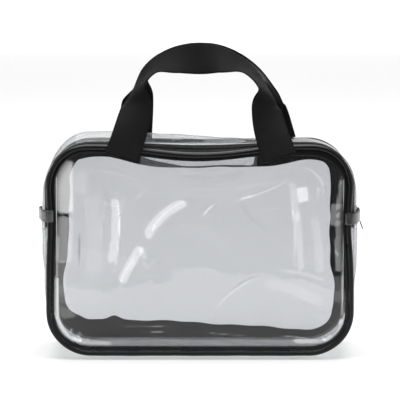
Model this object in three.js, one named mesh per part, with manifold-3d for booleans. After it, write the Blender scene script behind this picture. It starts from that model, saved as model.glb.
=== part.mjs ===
// Clear zip-top makeup bag: two crowned PVC panels, a PVC gusset with a coil zipper over the top,
// piped and bound seams, two webbing handles, a slider with its puller, and a folded tab at each end.
// Millimetres, +X right, +Y towards the back, +Z up; the origin is under the middle of the bag.
import * as THREE from 'three';
import { LoftGeometry } from 'three/addons/geometries/LoftGeometry.js';
import { mergeVertices } from 'three/addons/utils/BufferGeometryUtils.js';
import Module from 'manifold-3d';

// Seam line: the rounded rectangle along which each panel is sewn to the gusset.
const HALF_WIDTH = 115;
const HALF_DEPTH = 38;
const SEAM_BOTTOM = 3;
const SEAM_TOP = 160;
const TOP_RADIUS = 30;
const BOTTOM_RADIUS = 32;

// Clear PVC sheet.
const SHEET = 0.6;
const PANEL_CROWN = 8;
const PANEL_SETBACK = 1.0;
const PANEL_INSET = 0.8;
const GUSSET_SHEET = 0.5;
const GUSSET_EDGE = 1.2;
const SIDE_BULGE = 4.5;
const TOP_BULGE = 1.5;
const BOTTOM_BULGE = 3;
const FLAT_HALF = 14;
const ZIP_SLOT_HALF = 9;

// Behind the zipper the gusset is slack: it humps up, higher towards the left than the right.
const HUMP_MEAN = 4.8;
const HUMP_SWING = 3.2;
const HUMP_MIDDLE_X = 20;
const HUMP_SPREAD = 40;

// The front edge of the opening sags between the handles; the back edge hardly does.
const FRONT_SAG = 6.5;
const REAR_SAG = 1;
const SAG_HALF_SPAN = 80;
const SAG_START_Z = 110;

// Piping bulb and seam binding, placed from the seam line: [outwards, forwards].
const PIPING_RADIUS = 1.9;
const PIPING_OFFSET = [0.6, 1.4];
const PIPING_SIDES = 8;
const BINDING_WIDTH = 9;
const BINDING_THICK = 2;
const BINDING_START = [-1.9, -3.0];
const FRONT_BINDING_LEAN = 65;
const REAR_BINDING_LEAN = 10;

// Coil zipper, measured outwards from the gusset's face.
const ZIP_END_Z = 101;
const JOINT_GAP = 0.6;
const TAPE_HALF = 16;
const TAPE_TOP = -0.95;
const TAPE_THICK = 0.5;
const MESH_GAP_HALF = 0.7;
const COIL_HALF = 2.5;
const COIL_LOW = -0.5;
const COIL_HIGH = 1.2;
const STOP_LENGTH = 1.6;
const END_GAP = 0.4;

// Slider: its middle stands on the right-hand side, clear of the end stop.
const SLIDER_Z = 108.5;
const SLIDER_LENGTH = 10;
const SLIDER_HALF = 3.6;
const PLATE = 0.6;
const TOP_PLATE = 1.6;
const BOTTOM_PLATE = -2.4;
const FLANGE = 0.6;
const FLANGE_LOW = 0.2;
const POST_HALF = 0.35;
const POST_LENGTH = 2.4;
const BRIDGE_HALF = 0.6;
const BRIDGE_LENGTH = 7.4;
const BRIDGE_FOOT = 1;
const EYE = 1.3;
const BRIDGE_BAR = 0.5;

// Puller: it hangs on the bridge and rests tilted out over the slider's lower end.
const PULLER_PIVOT_DROP = 2.2;
const PULLER_TILT = 20;
const PULLER_LENGTH = 11.8;
const PULLER_HALF = 2.2;
const PULLER_NECK_HALF = 1.8;
const PULLER_THICK = 0.8;
const PULLER_WINDOW_HALF = 0.95;
const PULLER_WINDOW_END = 2.7;
const CROSSBAR_RADIUS = 0.35;

// Folded end tabs, caught in the front seam over the piping.
const TAB_BOTTOM = 104;
const TAB_HEIGHT = 9.5;
const TAB_THICK = 0.7;
const LEFT_TAB_RAISE = 2;

// Webbing handles: each stands in a plane that leans over the bag from its foot.
const WEBBING = 26;
const WEBBING_THICK = 1.4;
const HANDLE_LEAN = 25.2;
const HANDLE_FOOT_Y = 45.4;
const FRONT_FOOT_Z = 155;
const REAR_FOOT_Z = 157;
const HANDLE_STEPS = 36;

const radians = THREE.MathUtils.degToRad;

function material(color, roughness, opacity = 1) {
  return new THREE.MeshStandardMaterial({ color, roughness, metalness: 0, opacity, transparent: opacity < 1 });
}

const clearPvc = () => material(0xd9dde0, 0.08, 0.3);
const blackPvc = () => material(0x0c0c0e, 0.3);
const webbing = () => material(0x141414, 0.75);
const zipNylon = () => material(0x101010, 0.6);
const darkMetal = () => new THREE.MeshStandardMaterial({ color: 0x161618, roughness: 0.35, metalness: 0.8 });

// ---- Seam line -------------------------------------------------------------------------------

// A straight stretch of the seam from one point to another.
function straight(x0, z0, x1, z1, pieces) {
  const length = Math.hypot(x1 - x0, z1 - z0);
  const normal = [(z1 - z0) / length, (x0 - x1) / length];
  const at = (t) => ({ x: x0 + (x1 - x0) * t, z: z0 + (z1 - z0) * t, nx: normal[0], nz: normal[1] });
  return { length, pieces, at };
}

// A quarter-circle corner of the seam, starting at an angle in degrees.
function corner(x, z, radius, start) {
  const at = (t) => {
    const angle = radians(start + 90 * t);
    const nx = Math.cos(angle);
    const nz = Math.sin(angle);
    return { x: x + radius * nx, z: z + radius * nz, nx, nz };
  };
  return { length: radius * Math.PI / 2, pieces: 6, at };
}

const gussetEdge = HALF_DEPTH - GUSSET_EDGE;
const topCornerX = HALF_WIDTH - TOP_RADIUS;
const topCornerZ = SEAM_TOP - TOP_RADIUS;
const bottomCornerX = HALF_WIDTH - BOTTOM_RADIUS;
const bottomCornerZ = SEAM_BOTTOM + BOTTOM_RADIUS;
const upperSide = topCornerZ - ZIP_END_Z;

// The seam, anticlockwise from the front, from the zipper's right-hand end.
const seam = [
  straight(HALF_WIDTH, ZIP_END_Z, HALF_WIDTH, topCornerZ, 2),
  corner(topCornerX, topCornerZ, TOP_RADIUS, 0),
  straight(topCornerX, SEAM_TOP, -topCornerX, SEAM_TOP, 16),
  corner(-topCornerX, topCornerZ, TOP_RADIUS, 90),
  straight(-HALF_WIDTH, topCornerZ, -HALF_WIDTH, ZIP_END_Z, 2),
  straight(-HALF_WIDTH, ZIP_END_Z, -HALF_WIDTH, bottomCornerZ, 4),
  corner(-bottomCornerX, bottomCornerZ, BOTTOM_RADIUS, 180),
  straight(-bottomCornerX, SEAM_BOTTOM, bottomCornerX, SEAM_BOTTOM, 8),
  corner(bottomCornerX, bottomCornerZ, BOTTOM_RADIUS, 270),
  straight(HALF_WIDTH, bottomCornerZ, HALF_WIDTH, ZIP_END_Z, 4),
];
const seamLength = seam.reduce((sum, stretch) => sum + stretch.length, 0);
const zipLength = 2 * (upperSide + TOP_RADIUS * Math.PI / 2) + 2 * topCornerX;

// Stations along the seam between two distances from its start, both ends included.
function stations(from, to) {
  const found = [];
  let start = 0;
  for (const stretch of seam) {
    const low = Math.max(from, start);
    const high = Math.min(to, start + stretch.length);
    if (high > low) {
      const count = Math.max(1, Math.round(stretch.pieces * (high - low) / stretch.length));
      for (let i = found.length ? 1 : 0; i <= count; i++) {
        found.push(stretch.at((low - start + (high - low) * i / count) / stretch.length));
      }
    }
    start += stretch.length;
  }
  return found;
}

// How far the gusset's face stands outside the seam line, at a depth y.
function bulgeAt(station, y) {
  const middle = station.nz < 0 ? BOTTOM_BULGE : TOP_BULGE;
  const bulge = SIDE_BULGE + (middle - SIDE_BULGE) * Math.abs(station.nz);
  const share = (1 - Math.abs(y / HALF_DEPTH) ** 3) / (1 - (FLAT_HALF / HALF_DEPTH) ** 3);
  return bulge * Math.min(1, share) + humpAt(station, y);
}

// The slack hump between the zipper tape's rear edge and the rear seam, on the upper side only.
function humpAt(station, y) {
  if (y <= TAPE_HALF || station.nz <= 0) return 0;
  const height = HUMP_MEAN - HUMP_SWING * Math.tanh((station.x - HUMP_MIDDLE_X) / HUMP_SPREAD);
  const across = Math.sin(Math.PI * (y - TAPE_HALF) / (gussetEdge - TAPE_HALF)) ** 2;
  return height * station.nz ** 2 * across;
}

// The sag of the opening's edge, which fades out down the panels.
function sagged(point) {
  if (Math.abs(point.x) >= SAG_HALF_SPAN || point.z <= SAG_START_Z) return point;
  const across = Math.cos(Math.PI * point.x / (2 * SAG_HALF_SPAN)) ** 2;
  const back = THREE.MathUtils.clamp((point.y + HALF_DEPTH) / (2 * HALF_DEPTH), 0, 1);
  const depth = FRONT_SAG + (REAR_SAG - FRONT_SAG) * back;
  const fade = THREE.MathUtils.smoothstep(point.z, SAG_START_Z, SEAM_TOP);
  point.z -= depth * across * fade;
  return point;
}

// One section point: a distance outwards from the seam line, at a depth y.
function seamPoint(station, outwards, y) {
  const x = station.x + station.nx * outwards;
  const z = station.z + station.nz * outwards;
  return sagged(new THREE.Vector3(x, y, z));
}

// A solid through sections that already close on themselves, turned the right way out.
function loft(sections) {
  const geometry = new LoftGeometry(sections);
  if (signedVolume(geometry) >= 0) return geometry;
  return new LoftGeometry(sections.map((section) => [...section].reverse()));
}

// A solid bar: each end section is closed by folding its far half onto its near half.
function bar(sections) {
  const folded = (section) => section.map((point, i) => (
    point.clone().add(section[section.length - 1 - i]).divideScalar(2)
  ));
  return loft([folded(sections[0]), ...sections, folded(sections[sections.length - 1])]);
}

// Six times the volume inside a closed surface, negative where the surface is inside out.
function signedVolume(geometry) {
  const position = geometry.getAttribute('position');
  const index = geometry.index;
  const a = new THREE.Vector3();
  const b = new THREE.Vector3();
  const c = new THREE.Vector3();
  let sum = 0;
  for (let i = 0; i < index.count; i += 3) {
    a.fromBufferAttribute(position, index.getX(i));
    b.fromBufferAttribute(position, index.getX(i + 1));
    c.fromBufferAttribute(position, index.getX(i + 2));
    sum += a.dot(b.cross(c));
  }
  return sum;
}

const bag = new THREE.Group();

function add(name, geometry, finish, parent = bag) {
  const mesh = new THREE.Mesh(geometry, finish);
  mesh.name = name;
  parent.add(mesh);
  return mesh;
}

// ---- Panels ------------------------------------------------------------------------------------

// A crowned sheet: rings shrink from the seam line to the middle, on its outer and then inner face.
function panel(side) {
  const around = stations(0, seamLength).slice(0, -1);
  const middleZ = (SEAM_TOP + SEAM_BOTTOM) / 2;
  const ring = (share, inner) => around.map((station) => {
    const x = (station.x - station.nx * PANEL_INSET) * share;
    const z = middleZ + (station.z - station.nz * PANEL_INSET - middleZ) * share;
    const depth = HALF_DEPTH - PANEL_SETBACK + PANEL_CROWN * (1 - share ** 2) - inner;
    return sagged(new THREE.Vector3(x, side * depth, z));
  });
  const shares = [0, 0.4, 0.7, 0.88, 1];
  const outer = shares.map((share) => ring(share, 0));
  const inner = shares.reverse().map((share) => ring(share, SHEET));
  return loft([...outer, ...inner]);
}

add('front_panel', panel(-1), clearPvc());
add('rear_panel', panel(1), clearPvc());

// ---- Piping and seam bindings --------------------------------------------------------------------

// A bar of one section carried right round a seam; the section's points are [outwards, forwards].
function seamRing(side, section) {
  const around = stations(0, seamLength).slice(0, -1);
  const rings = around.map((station) => (
    section.map(([outwards, forwards]) => seamPoint(station, outwards, side * (HALF_DEPTH + forwards)))
  ));
  return loft([...rings, rings[0]]);
}

const pipingSection = Array.from({ length: PIPING_SIDES }, (_, i) => {
  const angle = 2 * Math.PI * (i + 0.5) / PIPING_SIDES;
  const outwards = PIPING_OFFSET[0] + PIPING_RADIUS * Math.cos(angle);
  const forwards = PIPING_OFFSET[1] + PIPING_RADIUS * Math.sin(angle);
  return [outwards, forwards];
});

// The bound seam allowance: a flat bar that leans from the panel's plane towards the inside.
function bindingSection(lean) {
  const along = [-Math.cos(radians(lean)), -Math.sin(radians(lean))];
  const across = [along[1], -along[0]];
  const corners = [[0, -1], [1, -1], [1, 1], [0, 1]];
  return corners.map(([far, half]) => [0, 1].map((axis) => (
    BINDING_START[axis] + along[axis] * far * BINDING_WIDTH + across[axis] * half * BINDING_THICK / 2
  )));
}

add('front_piping', seamRing(-1, pipingSection), blackPvc());
add('rear_piping', seamRing(1, pipingSection), blackPvc());
add('front_seam_binding', seamRing(-1, bindingSection(FRONT_BINDING_LEAN)), blackPvc());
add('rear_seam_binding', seamRing(1, bindingSection(REAR_BINDING_LEAN)), blackPvc());

// ---- Gussets, tapes and coils --------------------------------------------------------------------

// A strip that follows the gusset's face through the given depths, between two heights off it.
function gussetStrip(from, to, depths, low, high) {
  const rings = stations(from, to).map((station) => {
    const top = depths.map((y) => seamPoint(station, bulgeAt(station, y) + high, y));
    const under = [...depths].reverse().map((y) => seamPoint(station, bulgeAt(station, y) + low, y));
    return [...top, ...under];
  });
  return bar(rings);
}

const zipStripDepths = [gussetEdge, 33, 30, 27, 23.5, 20, TAPE_HALF, ZIP_SLOT_HALF];
const tapeDepths = [TAPE_HALF, ZIP_SLOT_HALF, MESH_GAP_HALF];
const coilDepths = [COIL_HALF, MESH_GAP_HALF];
const bottomDepths = [-gussetEdge, -30, -22, -FLAT_HALF, FLAT_HALF, 22, 30, gussetEdge];
const coilStart = STOP_LENGTH + 2 * END_GAP;

for (const [end, side] of [['front', -1], ['rear', 1]]) {
  const sided = (depths) => depths.map((y) => side * y);
  const strip = gussetStrip(0, zipLength, sided(zipStripDepths), -GUSSET_SHEET, 0);
  const tape = gussetStrip(0, zipLength, sided(tapeDepths), TAPE_TOP - TAPE_THICK, TAPE_TOP);
  const coil = gussetStrip(coilStart, zipLength - coilStart, sided(coilDepths), COIL_LOW, COIL_HIGH);
  add(`zip_gusset_${end}`, strip, clearPvc());
  add(`zipper_tape_${end}`, tape, zipNylon());
  add(`zipper_coil_${end}`, coil, zipNylon());
}

const bottomGusset = gussetStrip(zipLength + JOINT_GAP, seamLength - JOINT_GAP, bottomDepths, -GUSSET_SHEET, 0);
add('bottom_gusset', bottomGusset, clearPvc());

// ---- End stops, slider and puller ----------------------------------------------------------------

// A box on the right-hand side, from limits measured off the gusset's face.
function sideBox(low, high, y0, y1, z0, z1) {
  const face = HALF_WIDTH + SIDE_BULGE;
  const geometry = new THREE.BoxGeometry(high - low, y1 - y0, z1 - z0);
  return geometry.translate(face + (low + high) / 2, (y0 + y1) / 2, (z0 + z1) / 2);
}

const stopLow = ZIP_END_Z + END_GAP;
const endStop = sideBox(COIL_LOW, COIL_HIGH, -COIL_HALF, COIL_HALF, stopLow, stopLow + STOP_LENGTH);
const acrossBag = -2 * (HALF_WIDTH + SIDE_BULGE) - COIL_LOW - COIL_HIGH;
add('zipper_stop_right', endStop, darkMetal());
add('zipper_stop_left', endStop.clone().translate(acrossBag, 0, 0), darkMetal());

const wasm = await Module();
wasm.setup();

function toSolid(geometry) {
  const bare = (geometry.index ? geometry.toNonIndexed() : geometry.clone());
  bare.deleteAttribute('normal');
  bare.deleteAttribute('uv');
  const merged = mergeVertices(bare, 1e-4);
  return new wasm.Manifold(new wasm.Mesh({
    numProp: 3,
    vertProperties: merged.attributes.position.array,
    triVerts: new Uint32Array(merged.index.array),
  }));
}

function toGeometry(solid) {
  const mesh = solid.getMesh();
  const geometry = new THREE.BufferGeometry();
  geometry.setAttribute('position', new THREE.BufferAttribute(mesh.vertProperties, 3));
  geometry.setIndex(new THREE.BufferAttribute(mesh.triVerts, 1));
  geometry.computeVertexNormals();
  return geometry;
}

function joined(geometries) {
  return toGeometry(geometries.map(toSolid).reduce((all, solid) => all.add(solid)));
}

// Two plates round the coils, held apart by a post at the nose, with a bridge for the puller.
function slider() {
  const low = SLIDER_Z - SLIDER_LENGTH / 2;
  const high = SLIDER_Z + SLIDER_LENGTH / 2;
  const topFace = TOP_PLATE + PLATE;
  const bridgeLow = SLIDER_Z - BRIDGE_LENGTH / 2;
  const bridgeHigh = SLIDER_Z + BRIDGE_LENGTH / 2;
  const barLow = topFace + EYE;
  const barHigh = barLow + BRIDGE_BAR;
  const flange = SLIDER_HALF - FLANGE;
  return joined([
    sideBox(TOP_PLATE, topFace, -SLIDER_HALF, SLIDER_HALF, low, high),
    sideBox(BOTTOM_PLATE, BOTTOM_PLATE + PLATE, -SLIDER_HALF, SLIDER_HALF, low, high),
    sideBox(FLANGE_LOW, TOP_PLATE + PLATE / 2, -SLIDER_HALF, -flange, low, high),
    sideBox(FLANGE_LOW, TOP_PLATE + PLATE / 2, flange, SLIDER_HALF, low, high),
    sideBox(BOTTOM_PLATE + PLATE / 2, TOP_PLATE + PLATE / 2, -POST_HALF, POST_HALF, high - POST_LENGTH, high),
    sideBox(TOP_PLATE, barHigh, -BRIDGE_HALF, BRIDGE_HALF, bridgeLow, bridgeLow + BRIDGE_FOOT),
    sideBox(TOP_PLATE, barHigh, -BRIDGE_HALF, BRIDGE_HALF, bridgeHigh - BRIDGE_FOOT, bridgeHigh),
    sideBox(barLow, barHigh, -BRIDGE_HALF, BRIDGE_HALF, bridgeLow, bridgeHigh),
  ]);
}

// A stamped plate with a window at its top, whose upper bar passes through the slider's bridge.
function puller() {
  const outline = new THREE.Shape();
  const round = PULLER_HALF;
  outline.moveTo(-PULLER_NECK_HALF, 0);
  outline.lineTo(-PULLER_NECK_HALF, -PULLER_WINDOW_END);
  outline.lineTo(-PULLER_HALF, -PULLER_WINDOW_END - PULLER_THICK);
  outline.lineTo(-PULLER_HALF, round - PULLER_LENGTH);
  outline.absarc(0, round - PULLER_LENGTH, round, Math.PI, 2 * Math.PI);
  outline.lineTo(PULLER_HALF, -PULLER_WINDOW_END - PULLER_THICK);
  outline.lineTo(PULLER_NECK_HALF, -PULLER_WINDOW_END);
  outline.lineTo(PULLER_NECK_HALF, 0);
  outline.lineTo(PULLER_WINDOW_HALF, 0);
  outline.lineTo(PULLER_WINDOW_HALF, -PULLER_WINDOW_END);
  outline.lineTo(-PULLER_WINDOW_HALF, -PULLER_WINDOW_END);
  outline.lineTo(-PULLER_WINDOW_HALF, 0);
  const options = { depth: PULLER_THICK, bevelEnabled: false, curveSegments: 10 };
  const plate = new THREE.ExtrudeGeometry(outline, options).translate(0, 0, -PULLER_THICK / 2);
  const crossbar = new THREE.CylinderGeometry(CROSSBAR_RADIUS, CROSSBAR_RADIUS, 2 * PULLER_NECK_HALF, 10);
  return joined([plate, crossbar.rotateZ(Math.PI / 2)]).rotateX(Math.PI / 2).rotateZ(Math.PI / 2);
}

const sliderMesh = add('zipper_slider', slider(), darkMetal());
const pullerHinge = new THREE.Group();
pullerHinge.position.set(HALF_WIDTH + SIDE_BULGE + TOP_PLATE + PLATE + EYE / 2, 0, SLIDER_Z - PULLER_PIVOT_DROP);
pullerHinge.rotation.y = -radians(PULLER_TILT);
sliderMesh.add(pullerHinge);
add('zipper_puller', puller(), darkMetal(), pullerHinge);

// ---- End tabs --------------------------------------------------------------------------------------

// A strip folded into a loop: out of the front seam, over the piping, along the gusset and back.
function tab(side) {
  const route = new THREE.SplineCurve([
    [-2.0, -39.2], [-1.6, -41.1], [0.6, -42.1], [3.1, -41.3], [4.9, -38], [6.6, -32], [7.9, -24],
    [8.2, -17], [7.5, -12], [6.1, -11.4], [5.3, -15], [4.4, -25], [2.8, -33],
  ].map(([outwards, y]) => new THREE.Vector2(HALF_WIDTH + outwards, y)));
  const steps = 40;
  const edge = (half) => Array.from({ length: steps + 1 }, (_, i) => {
    const point = route.getPoint(i / steps);
    const along = route.getTangent(i / steps);
    return new THREE.Vector2(side * (point.x + along.y * half), point.y - along.x * half);
  });
  const outline = new THREE.Shape([...edge(TAB_THICK / 2), ...edge(-TAB_THICK / 2).reverse()]);
  const raise = side < 0 ? LEFT_TAB_RAISE : 0;
  const strip = new THREE.ExtrudeGeometry(outline, { depth: TAB_HEIGHT, bevelEnabled: false });
  return strip.translate(0, 0, TAB_BOTTOM + raise);
}

add('end_tab_right', tab(1), clearPvc());
add('end_tab_left', tab(-1), clearPvc());

// ---- Handles ---------------------------------------------------------------------------------------

// Webbing carried along a spline in the handle's leaning plane. Each row is [x, height up the plane,
// twist in degrees]; at the corners the webbing turns edge-on, its inner edge away from the bag's middle.
function handle(side, footZ, rows) {
  const route = new THREE.CatmullRomCurve3(rows.map((row) => new THREE.Vector3(...row)), false, 'centripetal');
  const lean = radians(HANDLE_LEAN);
  const up = new THREE.Vector3(0, -side * Math.sin(lean), Math.cos(lean));
  const away = new THREE.Vector3(0, side * Math.cos(lean), Math.sin(lean));
  const foot = new THREE.Vector3(0, side * HANDLE_FOOT_Y, footZ);
  const rings = [];
  for (let i = 0; i <= HANDLE_STEPS; i++) {
    const row = route.getPointAt(i / HANDLE_STEPS);
    const step = route.getTangentAt(i / HANDLE_STEPS);
    const flat = Math.hypot(step.x, step.y);
    const along = new THREE.Vector3(step.x / flat, 0, 0).addScaledVector(up, step.y / flat);
    const inwards = new THREE.Vector3(step.y / flat, 0, 0).addScaledVector(up, -step.x / flat);
    const twist = radians(row.z);
    const across = inwards.clone().multiplyScalar(Math.cos(twist)).addScaledVector(away, Math.sin(twist));
    const normal = along.clone().cross(across);
    const centre = foot.clone().add(new THREE.Vector3(row.x, 0, 0)).addScaledVector(up, row.y);
    rings.push([[-1, -1], [1, -1], [1, 1], [-1, 1]].map(([wide, thick]) => (
      centre.clone().addScaledVector(across, wide * WEBBING / 2).addScaledVector(normal, thick * WEBBING_THICK / 2)
    )));
  }
  return bar(rings);
}

add('front_handle', handle(-1, FRONT_FOOT_Z, [
  [-59.7, 0.9, 0], [-54, 18, 0], [-48.5, 39.5, 20], [-46.5, 57.8, 66], [-38, 72, 52], [-19, 80, 18], [0, 81.5, 0],
  [18, 79.6, 22], [38, 71, 56], [49, 55.8, 66], [50.5, 39.5, 30], [55, 18, 5], [60.5, 0.9, 0],
]), webbing());
add('rear_handle', handle(1, REAR_FOOT_Z, [
  [-51, 3, 0], [-50.5, 20, 0], [-50, 40, 20], [-46, 57, 66], [-35, 70, 52], [-16, 76.8, 18], [4, 78, 0],
  [22, 76.3, 22], [42, 68, 56], [54, 54, 66], [55.5, 38, 30], [59, 19, 5], [63, 3.4, 0],
]), webbing());

export default bag;
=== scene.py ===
# Clear zip-top makeup bag: the looks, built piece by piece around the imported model.
import bpy
import math
import numpy as np
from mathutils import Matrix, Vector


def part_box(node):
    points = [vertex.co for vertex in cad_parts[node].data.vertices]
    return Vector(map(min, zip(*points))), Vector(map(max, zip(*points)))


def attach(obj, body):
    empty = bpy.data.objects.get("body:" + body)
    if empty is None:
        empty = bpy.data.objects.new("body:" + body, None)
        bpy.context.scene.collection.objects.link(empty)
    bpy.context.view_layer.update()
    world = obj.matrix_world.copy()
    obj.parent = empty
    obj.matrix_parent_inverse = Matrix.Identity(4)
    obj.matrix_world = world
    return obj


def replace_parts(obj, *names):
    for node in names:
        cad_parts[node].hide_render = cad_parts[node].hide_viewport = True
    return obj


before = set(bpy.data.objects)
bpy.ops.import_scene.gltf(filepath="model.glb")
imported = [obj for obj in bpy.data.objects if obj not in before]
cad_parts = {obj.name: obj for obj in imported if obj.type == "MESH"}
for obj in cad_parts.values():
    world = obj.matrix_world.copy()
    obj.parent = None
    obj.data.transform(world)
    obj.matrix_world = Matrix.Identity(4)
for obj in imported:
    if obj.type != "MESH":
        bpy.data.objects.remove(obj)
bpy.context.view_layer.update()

# ---- Camera and light ----------------------------------------------------------------------------
# A long lens looks at the bag's front from a little above. A big softbox hangs over the bag, a strip light
# stands at each side, and the room around is an even grey that is darker where a glossy surface mirrors it.
MM = 0.001
scene = bpy.context.scene
scene.view_settings.view_transform = "Standard"
CAMERA_ELEVATION = math.radians(7.5)
CAMERA_DISTANCE = 1.938
LENS = 225
AIM = (0, 0, 0.118)
BACKDROP = 1.1
ROOM_LIGHT = 0.5
ROOM_IN_GLOSS = 0.1
SEE_THROUGH_LAYERS = 24

camera = bpy.data.objects.new("camera", bpy.data.cameras.new("camera"))
camera.data.lens = LENS
camera.data.clip_end = 20
camera.location = (AIM[0], AIM[1] - CAMERA_DISTANCE * math.cos(CAMERA_ELEVATION),
                   AIM[2] + CAMERA_DISTANCE * math.sin(CAMERA_ELEVATION))
camera.rotation_euler = (math.pi / 2 - CAMERA_ELEVATION, 0, 0)
scene.collection.objects.link(camera)
scene.camera = camera


def soft_light(name, place, aim, width, height, watts):
    """A rectangular softbox at a place in metres, turned about two axes so that it faces an aim point."""
    light = bpy.data.lights.new(name, "AREA")
    light.shape = "RECTANGLE"
    light.size = width
    light.size_y = height
    light.energy = watts
    lamp = bpy.data.objects.new(name, light)
    lamp.location = place
    direction = np.array(aim, float) - np.array(place, float)
    direction /= np.linalg.norm(direction)
    heading = math.atan2(direction[1], direction[0]) - math.pi / 2
    lamp.rotation_euler = (math.acos(-direction[2]), 0, heading)
    scene.collection.objects.link(lamp)


soft_light("overhead_softbox", (0, 0.1, 2.2), (0, 0.1, 0), 2.4, 2.0, 60)
soft_light("left_strip", (-1.5, -1.2, 0.7), (0, 0, 0.08), 0.3, 1.4, 9)
soft_light("right_strip", (1.6, -0.9, 0.7), (0, 0, 0.08), 0.3, 1.4, 9)

world = bpy.data.worlds.new("studio")
world.use_nodes = True
scene.world = world
tree = world.node_tree
tree.nodes.clear()


def glow(level):
    """A plain grey surrounding of the given brightness."""
    background = tree.nodes.new("ShaderNodeBackground")
    background.inputs["Color"].default_value = (1, 1, 1, 1)
    background.inputs["Strength"].default_value = level
    return background.outputs[0]


def chosen(test, no, yes):
    """One surrounding where a test on the ray is false, another where it is true."""
    either = tree.nodes.new("ShaderNodeMixShader")
    for socket, source in zip(either.inputs, (test, no, yes)):
        tree.links.new(source, socket)
    return either.outputs[0]


ray = tree.nodes.new("ShaderNodeLightPath").outputs
room = chosen(ray["Is Glossy Ray"], glow(ROOM_LIGHT), glow(ROOM_IN_GLOSS))
around = chosen(ray["Is Camera Ray"], room, glow(BACKDROP))
tree.links.new(around, tree.nodes.new("ShaderNodeOutputWorld").inputs[0])
scene.cycles.transparent_max_bounces = SEE_THROUGH_LAYERS


# ---- Shader expressions --------------------------------------------------------------------------
class Wire:
    """A socket in a material's node tree; arithmetic on it adds Math nodes."""

    def __init__(self, finish, socket):
        self.finish = finish
        self.socket = socket

    def math(self, operation, *others):
        return self.finish.node("ShaderNodeMath", {"operation": operation}, [self, *others])

    def __add__(self, other):
        return self.math("ADD", other)

    def __sub__(self, other):
        return self.math("SUBTRACT", other)

    def __rsub__(self, other):
        return self.finish.node("ShaderNodeMath", {"operation": "SUBTRACT"}, [other, self])

    def __mul__(self, other):
        return self.math("MULTIPLY", other)

    def __pow__(self, other):
        return self.math("POWER", other)

    def clamp(self):
        return self.finish.node("ShaderNodeClamp", {}, [self])

    __radd__ = __add__
    __rmul__ = __mul__


class Finish:
    """A material under construction: node() adds any node, and its output comes back as a wire."""

    def __init__(self, name):
        self.material = bpy.data.materials.new(name)
        self.material.use_nodes = True
        self.tree = self.material.node_tree
        self.tree.nodes.clear()

    def node(self, kind, settings, values, output=0):
        made = self.tree.nodes.new(kind)
        for key, value in settings.items():
            setattr(made, key, value)
        pairs = values.items() if isinstance(values, dict) else enumerate(values)
        for key, value in pairs:
            if isinstance(value, Wire):
                self.tree.links.new(value.socket, made.inputs[key])
            else:
                made.inputs[key].default_value = value
        return Wire(self, made.outputs[output])

    def place(self):
        """Where a point lies on its own object, in metres."""
        return self.node("ShaderNodeTexCoord", {}, {}, "Object")

    def noise(self, place, scale, detail):
        """Cloudy noise between 0 and 1."""
        return self.node("ShaderNodeTexNoise", {}, {"Vector": place, "Scale": scale, "Detail": detail})

    def bump(self, height, strength, distance):
        """A surface direction tilted by the slope of a height."""
        return self.node("ShaderNodeBump", {}, {"Strength": strength, "Distance": distance, "Height": height})

    def blend(self, share, low, high):
        """A colour between two; a Mix node takes colours at 6 and 7 and gives one at 2."""
        return self.node("ShaderNodeMix", {"data_type": "RGBA"}, {0: share, 6: low, 7: high}, 2)

    def done(self, shader):
        result = self.tree.nodes.new("ShaderNodeOutputMaterial")
        self.tree.links.new(shader.socket, result.inputs["Surface"])
        return self.material


def grey(value):
    """A neutral colour."""
    return (value, value, value, 1)


# ---- Floor and backdrop --------------------------------------------------------------------------
# A sheet of white paper under the bag, and a white wall far behind it. Both glow a little, so that they
# come out almost pure white and the bag's shadow stays pale.
def lit_paper(name, albedo, own_light):
    """Matt white paper that also gives a little light of its own."""
    f = Finish(name)
    return f.done(f.node("ShaderNodeBsdfPrincipled", {}, {
        "Base Color": grey(albedo), "Roughness": 1.0, "Specular IOR Level": 0.0,
        "Emission Color": grey(1), "Emission Strength": own_light}))


def staged_plane(name, corners, material):
    """A flat four-cornered surface that belongs to the studio."""
    mesh = bpy.data.meshes.new(name)
    mesh.from_pydata(corners, [], [(0, 1, 2, 3)])
    mesh.materials.append(material)
    plane = bpy.data.objects.new(name, mesh)
    scene.collection.objects.link(plane)


FLOOR_SIDE = 1.4
FLOOR_FRONT = -0.34
WALL_Y = 3.2
WALL_TOP = 3.0
white_paper = lit_paper("white_paper", albedo=0.64, own_light=0.28)
white_wall = lit_paper("white_wall", albedo=0.4, own_light=0.97)
staged_plane("floor", [(-FLOOR_SIDE, FLOOR_FRONT, 0), (FLOOR_SIDE, FLOOR_FRONT, 0),
                       (FLOOR_SIDE, WALL_Y, 0), (-FLOOR_SIDE, WALL_Y, 0)], white_paper)
staged_plane("back_wall", [(-FLOOR_SIDE, WALL_Y, 0), (FLOOR_SIDE, WALL_Y, 0),
                           (FLOOR_SIDE, WALL_Y, WALL_TOP), (-FLOOR_SIDE, WALL_Y, WALL_TOP)], white_wall)


# ---- Clear PVC panels ----------------------------------------------------------------------------
# Front and rear: clear vinyl sheet, cut with round corners and sewn into the piped seams all round.
# The bag's fullness crowns it, and it keeps creases from the time when it lay folded in its packing.
panel_low, panel_high = (np.array(corner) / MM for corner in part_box("front_panel"))
PANEL_INSET = 0.8
PANEL_SETBACK = 1.0
HALF_WIDTH = panel_high[0] + PANEL_INSET
HALF_DEPTH = 38
SEAM_TOP = 160
SEAM_BOTTOM = panel_low[2] - PANEL_INSET
TOP_RADIUS = 30
BOTTOM_RADIUS = 32
ZIP_END_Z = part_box("zipper_tape_front")[0].z / MM
FRONT_SAG = 6.5
REAR_SAG = 1
SAG_HALF_SPAN = 80
SAG_START_Z = 110
WAIST_RIGHT = 2.4
WAIST_LEFT = 1.4
WAIST_Z = 106
WAIST_SPREAD = 30
WAIST_FROM_X, WAIST_FULL_X = 70, 115
FRONT_LIFT = 2.3
LIFT_FROM_Z, LIFT_FULL_Z = 70, 3
LIFT_DEPTH = 0.5
FRONT_RISE = 2.8
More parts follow.
